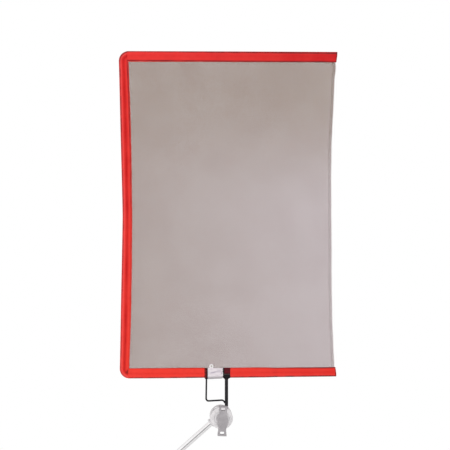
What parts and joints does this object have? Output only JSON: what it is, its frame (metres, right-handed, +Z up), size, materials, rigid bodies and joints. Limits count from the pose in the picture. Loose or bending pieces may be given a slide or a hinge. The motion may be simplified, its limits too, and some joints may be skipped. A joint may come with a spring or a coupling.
{
  "type": "net scrim in grip head",
  "caption": "Tall open-ended net scrim with a red cloth binding, its pin clamped in a round grip head with a T-handle on a short round arm.",
  "frame": {"origin": "centre of the arm rod at its free end, where the end's chamfer starts", "axes": "+Z up along the upright scrim and its mounting pin; +Y along the clamp screw, from the T-handle towards the arm; +X towards the scrim's open edge"},
  "size_m": [0.739, 0.1132, 1.3897],
  "materials": {
    "spring_steel_frame": "bright drawn rod",
    "vinyl_cap": "soft vinyl",
    "net_cloth": "open hexagonal net",
    "net_cloth_back": "open hexagonal net",
    "hem_tape": "folded tape, stitched",
    "binding_cloth": "red folded cloth binding, stitched",
    "black_painted_steel": "black paint over steel",
    "black_cloth_tape": "woven cloth tape",
    "white_label": "white coated cloth, creased",
    "eyelet_metal": "nickel plated",
    "cast_jaw": "satin cast aluminium",
    "rear_casting": "satin cast aluminium",
    "plated_steel": "zinc plated",
    "spring_steel": "spring wire",
    "friction_lining": "pressed fibre lining",
    "arm_chrome": "bright plated steel",
    "handle_casting": "satin die-cast"
  },
  "bodies": {
    "arm": {"arm_rod": "arm_chrome", "arm_body": "rear_casting", "arm_roll_pin": "spring_steel", "clamp_nut": "plated_steel"},
    "head": {"inner_jaw": "cast_jaw", "friction_disc": "friction_lining", "alignment_dowel": "plated_steel", "jaw_spring": "spring_steel"},
    "front_jaw": {"outer_jaw": "cast_jaw", "thrust_washer": "plated_steel"},
    "handle": {"t_handle": "handle_casting", "handle_pin": "plated_steel", "clamp_screw": "plated_steel", "screw_stop_ring": "spring_steel"},
    "scrim": {"mounting_pin": "black_painted_steel", "frame_rod": "spring_steel_frame", "rod_tip_caps": "vinyl_cap", "brace_rod": "black_painted_steel", "weld_beads": "black_painted_steel", "binding_top": "binding_cloth", "binding_left": "binding_cloth", "binding_bottom_left": "binding_cloth", "binding_bottom_right": "binding_cloth", "net_front_layer": "net_cloth", "net_back_layer": "net_cloth_back", "net_edge_hem": "hem_tape", "end_wrap_left": "black_cloth_tape", "end_wrap_right": "black_cloth_tape", "label_wrap": "white_label", "label_eyelet": "eyelet_metal"}
  },
  "joints": [
    {"name": "head_turn", "type": "hinge", "parent": "arm", "child": "head", "pos_m": [0.40947, -0.0305, 0.35634], "axis": [0, 1, 0], "continuous": true},
    {"name": "pin_roll", "type": "hinge", "parent": "head", "child": "scrim", "pos_m": [0.42347, -0.0305, 0.35634], "axis": [0, 0, 1], "continuous": true},
    {"name": "jaw_open", "type": "slide", "parent": "head", "child": "front_jaw", "axis": [0, -1, 0], "range_m": [0, 0.00317], "deforming": ["jaw_spring"]},
    {"name": "handle_turn", "type": "hinge", "parent": "front_jaw", "child": "handle", "pos_m": [0.40947, -0.0705, 0.35634], "axis": [0, -1, 0], "range_deg": [0, 720]}
  ],
  "couplings": [
    {"joint": "handle_turn", "follows": "jaw_open", "rad_per_m": 3957.9}
  ]
}
